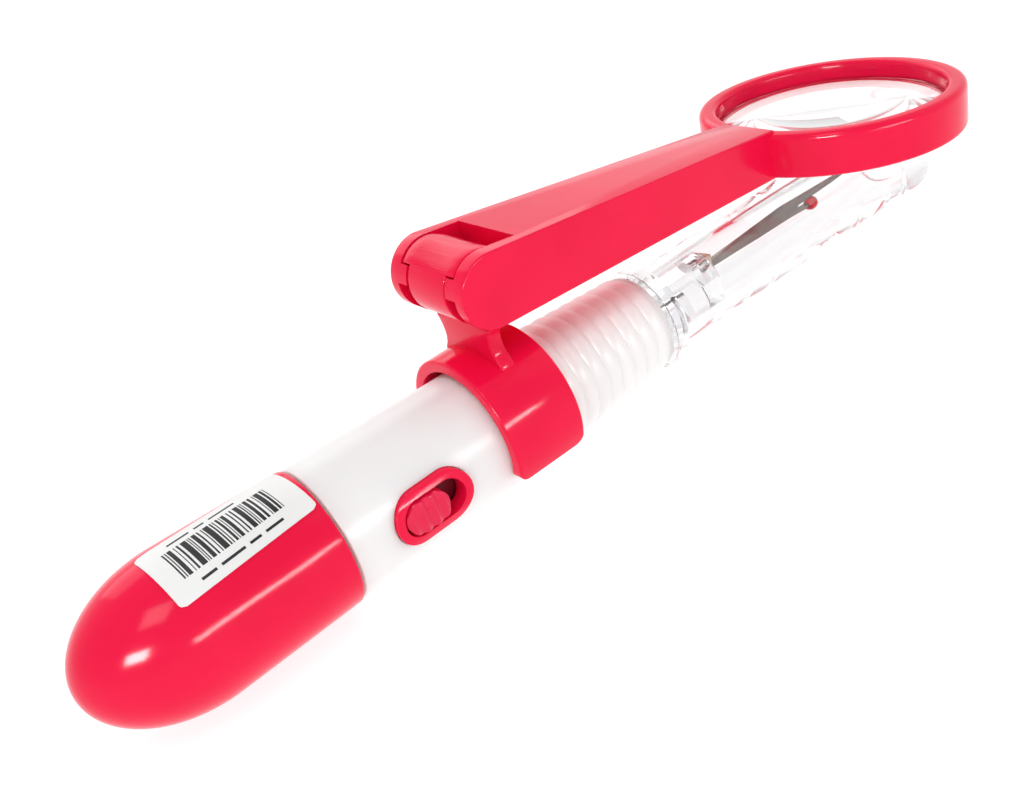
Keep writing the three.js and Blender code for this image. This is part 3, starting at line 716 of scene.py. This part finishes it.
def make_knob():
    """The thumb slide: a ridged stem in the slot, a foot behind the slot and a post for the wiper.

    The foot's faces get the dark material, painted shade, as they lie in the shade of the slot.
    """
    x0 = SWITCH["slot_x0"] + GAP
    x1 = x0 + KNOB["length"]
    outline = [(x0 - PAST, KNOB["root"])]
    steps = 60
    for i in range(steps + 1):
        x = x0 - PAST + (x1 - x0 + 2 * PAST) * i / steps
        t = (x - x0) / (x1 - x0)
        ridge = KNOB["ridge"] * math.cos(2 * math.pi * (t * KNOB["ridges"] - 0.5))
        fall = KNOB["fall"] * max(0.0, abs(2 * t - 1) - KNOB["fall_from"]) ** KNOB["fall_power"]
        outline.append((x, KNOB["top"] + ridge - fall))
    outline.append((x1 + PAST, KNOB["root"]))
    plan = stadium(x0, x1, SWITCH["z"], SWITCH["slot_half"] - GAP, steps=28)
    stem = common(prism(plan, "y", -FAR, 0), turned(outline, facets=256))
    stem = bevelled(stem, 0.14, degrees=60, segments=2)
    z, half, inner, outer = SWITCH["z"], KNOB["foot_half"], KNOB["foot_inner"], KNOB["foot_outer"]
    start, end = x0 - 3 * PAST, x1 + 3 * PAST
    foot = common(
        box(x0 - KNOB["foot_back"], x1 + KNOB["foot_front"], -FAR, 0, z - half, z + half),
        turned([(start, inner), (start, outer), (end, outer), (end, inner)], facets=128),
    )
    bm = join(stem, foot)
    bm = join(bm, box(x0 + KNOB["post_x0"], x0 + KNOB["post_x1"], KNOB["post_y0"],
                      KNOB["post_y1"], KNOB["post_z0"], KNOB["post_z1"]))
    thumb = piece("switch_thumb_red", bm, "slider", RED_KNOB, ["switch_knob"])
    thumb.data.materials.append(RED_PAINTED_SHADE)
    # faces down in the slot, nearer the axis than the radius, get the painted shade
    for face in thumb.data.polygons:
        spot = (face.center - ORIGIN) / MM
        face.material_index = int(math.hypot(spot.y, spot.z) < KNOB["painted_shade_radius"])


# ------------------------------------------------------------------ clip, arm, magnifier
def make_clip():
    """The collar round the barrel, its neck, and the knuckle with the two hinge pins."""
    corner = CLIP["corner"]
    skirt = arc(CLIP["x0"] + corner, CLIP["skirt_z"] + corner, corner, 180, 270, 10)
    skirt += arc(CLIP["x1"] - corner, CLIP["skirt_z"] + corner, corner, 270, 360, 10)
    skirt += [(CLIP["x1"], CLIP["top"]), (CLIP["x0"], CLIP["top"])]
    collar = turned(rounded([
        (CLIP["x0"], CLIP["inner"], 0.2), (CLIP["x0"], CLIP["outer"], 0.35),
        (CLIP["x1"], CLIP["outer"], 0.35), (CLIP["x1"], CLIP["inner"], 0.2),
    ]), facets=160)
    collar = common(moved(collar, z=CLIP["rise"]), prism(skirt, "y", -FAR, FAR))
    outline = NECK_SIDE + [(-y, z) for y, z in reversed(NECK_SIDE)]
    neck = bevelled(prism(outline, "x", CLIP["neck_x0"], CLIP["neck_x1"]), 0.3, degrees=50)
    bore = rod(CLIP["bore_x0"], CLIP["bore_x1"], CLIP["inner"], facets=160)
    neck = cut(neck, moved(bore, z=CLIP["rise"]))
    radius, narrow = KNUCKLE["radius"], KNUCKLE["narrow"]
    middle = turned(rounded([
        (-narrow, 0, 0), (-narrow, radius, 0.15), (narrow, radius, 0.15), (narrow, 0, 0),
    ]), facets=128)
    knuckle = spun(middle, 90, "Z")
    inside = narrow - KNUCKLE["overlap"]
    shoulder = sector(radius, KNUCKLE["from"], KNUCKLE["to"], inside, KNUCKLE["wide"])
    pin = turned(rounded([
        (inside, 0, 0), (inside, KNUCKLE["pin_radius"], 0),
        (KNUCKLE["pin_end"], KNUCKLE["pin_radius"], 0.3), (KNUCKLE["pin_end"], 0, 0),
    ]), facets=64)
    end = join(bevelled(shoulder, 0.12, degrees=60, segments=2), spun(pin, 90, "Z"))
    knuckle = join(knuckle, mirrored(end))
    knuckle = join(knuckle, end)
    bm = join(join(collar, neck), moved(knuckle, HINGE_MM.x, 0, HINGE_MM.z))
    piece("clip_red", bm, "clip", RED, ["magnifier_clip"])


def tilted(bm):
    """Moves what is drawn along the arm, from the hinge, to the arm's place at rest."""
    return moved(spun(bm, ARM["tilt"]), HINGE_MM.x, 0, HINGE_MM.z)


def make_arm():
    """The tapered arm with its two ears, the pads and bores that take the pins, and the ring."""
    back, root, half0, half1 = ARM["back"], ARM["root"], ARM["half0"], ARM["half1"]
    profile = arc(0, 0, ARM["ear"], 90, 269, 48)
    profile += [(root, ARM["bottom1"]), (root, ARM["top1"])]
    plan = [
        (back, -half0), (0, -half0), (root, -half1), (root, half1), (0, half0), (back, half0),
    ]
    bm = common(prism(profile, "y", -FAR, FAR), prism(plan, "z", -FAR, FAR))
    bm = bevelled(bm, 0.22, degrees=40, segments=4)
    half, tilt, inside = ARM["window_half"], ARM["tilt"], ARM["pad_half"] - PAST
    bm = cut(bm, box(back, ARM["window"], -half, half, -FAR, FAR))
    pad = sector(ARM["ear"], ARM["pad_from"] + tilt, ARM["pad_to"] + tilt,
                 ARM["pad_half"], half + 0.2)
    bore = spun(rod(inside, ARM["bore_end"], ARM["bore"], facets=64), 90, "Z")
    lead = box(0, FAR, inside, half + ARM["lead_depth"], -ARM["lead_half"], ARM["lead_half"])
    lead_in = spun(lead, -(ARM["lead_angle"] + tilt))
    for operation, tool in ((join, pad), (cut, bore), (cut, lead_in)):
        other = mirrored(tool)
        bm = operation(operation(bm, tool), other)
    ring = turned(rounded([
        (RING["top"], RING["inner"], 0.8), (RING["top"], RING["outer"], 1.0),
        (RING["bottom"], RING["outer"], 0.6), (RING["bottom"], RING["lip"], 0.3),
        (RING["seat0"], RING["lip"], 0), (RING["seat0"], RING["seat"], 0),
        (RING["seat1"], RING["seat"], 0), (RING["seat1"], RING["inner"], 0.05),
    ], steps=8), facets=192)
    bm = join(bm, moved(spun(ring, -90), ARM["reach"], 0, 0))
    piece("arm_red", tilted(bm), "magnifier", RED, ["magnifier_arm"])


def make_lens():
    radius, bulge = LENS["radius"], LENS["bulge"]
    curve = (radius ** 2 + bulge ** 2) / (2 * bulge)
    steps = 28
    radii = [radius * i / steps for i in range(steps + 1)]

    def rise(r):
        return math.sqrt(curve ** 2 - r ** 2) - (curve - bulge)

    outline = [(LENS["edge1"] + rise(r), r) for r in radii]
    outline += [(LENS["edge0"] - rise(r), r) for r in reversed(radii)]
    bm = tilted(moved(spun(turned(outline, facets=160), -90), ARM["reach"], 0, 0))
    piece("lens_clear", bm, "magnifier", LENS_CLEAR, ["magnifier_lens"], sharp=30)


# ------------------------------------------------------------------ CAD nodes that stay
KEPT = {
    "cell_1": CELL_STEEL, "cell_2": CELL_STEEL, "cell_3": CELL_STEEL, "cell_spring": CELL_STEEL,
    "lamp_lead_left": CELL_STEEL, "lamp_lead_right": CELL_STEEL, "lamp_board": BOARD,
    "lamp_strip": BRASS, "return_strip": BRASS, "front_contact": BRASS, "spring_plate": BRASS,
    "switch_wiper": BRASS,
}


def finish_kept_nodes():
    """The inside parts keep their CAD shape and get a material."""
    for name, material in KEPT.items():
        mesh = frame["nodes"][name].data
        mesh.materials.clear()
        mesh.materials.append(material)
        mesh.shade_smooth()
        mesh.set_sharp_from_angle(angle=math.radians(30))


# ------------------------------------------------------------------ stage, light, camera
# the floor's half width and its drop below the object in metres, its glow and its two greys
FLOOR = {
    "half": 4.0, "drop": 0.0002, "glow": 0.85, "low": (0.3, 0.3, 0.3), "high": (0.31, 0.31, 0.31),
}
# the world's strength goes from strength_low to strength_high as the sky goes up from z_low to
# z_high, where 0 is level and 1 is straight up
SKY = {"z_low": 0.05, "z_high": 0.55, "strength_low": 1.0, "strength_high": 0.68}
# name: azimuth and elevation in degrees, distance and size in metres, power in watts, and whether
# the light is left out of diffuse light, so that it shows only in gloss and clear plastic
LIGHTS = {
    "key": (-40, 62, 0.6, (0.2, 0.2), 0.7, False),
    "back": (165, 35, 0.8, (0.9, 0.5), 2.1, False),
    "fill": (60, 40, 0.7, (0.4, 0.4), 0.2, False),
    "glint": (-50, 24, 0.5, (0.15, 0.09), 2.9, True),
    "streak": (8, 11, 0.5, (0.3, 0.028), 1.4, True),
}
# angles in degrees, distance in metres, focal length and sensor in millimetres; the camera looks
# at a point in the pen's own millimetres
CAMERA = {
    "azimuth": -29.791, "elevation": 29.766, "roll": -17.819, "distance": 0.14542,
    "focal": 44.165, "sensor": 36.0, "look_x": 56.694, "look_z": 1.234,
}


def direction(azimuth, elevation):
    """The unit vector from the object to a light or a camera; azimuth 0 is the near side."""
    a, e = math.radians(azimuth), math.radians(elevation)
    return Vector((math.sin(a) * math.cos(e), -math.cos(a) * math.cos(e), math.sin(e)))


def make_floor():
    material, nodes, links, shader = new_material("floor_white")
    grain = noise(nodes, links, scale=30.0)
    links.new(
        ramp(nodes, links, grain.outputs["Fac"], FLOOR["low"], FLOOR["high"]),
        shader.inputs["Base Color"],
    )
    shader.inputs["Roughness"].default_value = 0.9
    shader.inputs["Specular IOR Level"].default_value = 0.1
    shader.inputs["Emission Color"].default_value = (1, 1, 1, 1)
    shader.inputs["Emission Strength"].default_value = FLOOR["glow"]
    bm = bmesh.new()
    bmesh.ops.create_grid(bm, x_segments=1, y_segments=1, size=FLOOR["half"])
    mesh = bpy.data.meshes.new("floor")
    bm.to_mesh(mesh)
    bm.free()
    floor = bpy.data.objects.new("floor", mesh)
    bpy.context.scene.collection.objects.link(floor)
    floor.location.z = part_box("end_cap")[0].z - FLOOR["drop"]
    mesh.materials.append(material)


def area_light(name, azimuth, elevation, distance, size, power, shine_only):
    """A rectangular light that faces the middle of the pen's axis."""
    data = bpy.data.lights.new(name, "AREA")
    data.shape = "RECTANGLE"
    data.size, data.size_y = size
    data.energy = power
    lamp = bpy.data.objects.new(name, data)
    back = direction(azimuth, elevation)
    lamp.location = Vector((0, 0, AXIS_Z)) + back * distance
    lamp.rotation_mode = "QUATERNION"
    lamp.rotation_quaternion = (-back).to_track_quat("-Z", "Y")
    lamp.visible_diffuse = not shine_only
    bpy.context.scene.collection.objects.link(lamp)


def make_lights():
    world = bpy.data.worlds.new("studio")
    world.use_nodes = True
    nodes, links = world.node_tree.nodes, world.node_tree.links
    background = nodes["Background"]
    background.inputs["Color"].default_value = (1, 1, 1, 1)
    coordinates = nodes.new("ShaderNodeTexCoord")
    parts = nodes.new("ShaderNodeSeparateXYZ")
    links.new(coordinates.outputs["Generated"], parts.inputs["Vector"])
    fade = nodes.new("ShaderNodeMapRange")
    fade.inputs["From Min"].default_value = SKY["z_low"]
    fade.inputs["From Max"].default_value = SKY["z_high"]
    fade.inputs["To Min"].default_value = SKY["strength_low"]
    fade.inputs["To Max"].default_value = SKY["strength_high"]
    links.new(parts.outputs["Z"], fade.inputs["Value"])
    links.new(fade.outputs["Result"], background.inputs["Strength"])
    bpy.context.scene.world = world
    for name, settings in LIGHTS.items():
        area_light(name, *settings)


def make_camera():
    a, r = math.radians(CAMERA["azimuth"]), math.radians(CAMERA["roll"])
    back = direction(CAMERA["azimuth"], CAMERA["elevation"])
    right = Vector((math.cos(a), math.sin(a), 0))
    up = back.cross(right)
    rolled_right = right * math.cos(r) + up * math.sin(r)
    rolled_up = up * math.cos(r) - right * math.sin(r)
    data = bpy.data.cameras.new("camera")
    data.lens = CAMERA["focal"]
    data.sensor_width = CAMERA["sensor"]
    data.clip_start, data.clip_end = 0.01, 20.0
    camera = bpy.data.objects.new("camera", data)
    target = ORIGIN + Vector((CAMERA["look_x"], 0, CAMERA["look_z"])) * MM
    rotation = Matrix((rolled_right, rolled_up, back)).transposed().to_4x4()
    camera.matrix_world = Matrix.Translation(target + back * CAMERA["distance"]) @ rotation
    bpy.context.scene.collection.objects.link(camera)
    bpy.context.scene.camera = camera


def main():
    for make in (
        make_tail_cap, make_label, make_barrel, make_grip, make_nose, make_clamp, make_blade,
        make_ball, make_clear_cap, make_lamp, make_bezel, make_knob, make_clip, make_arm,
        make_lens, finish_kept_nodes, make_floor, make_lights, make_camera,
    ):
        make()
    scene = bpy.context.scene
    scene.view_settings.view_transform = "Standard"
    # the clear cap, nose and lens lie one behind another, so light crosses many surfaces
    scene.cycles.max_bounces = 40
    scene.cycles.transmission_bounces = 36
    scene.cycles.glossy_bounces = 36


main()
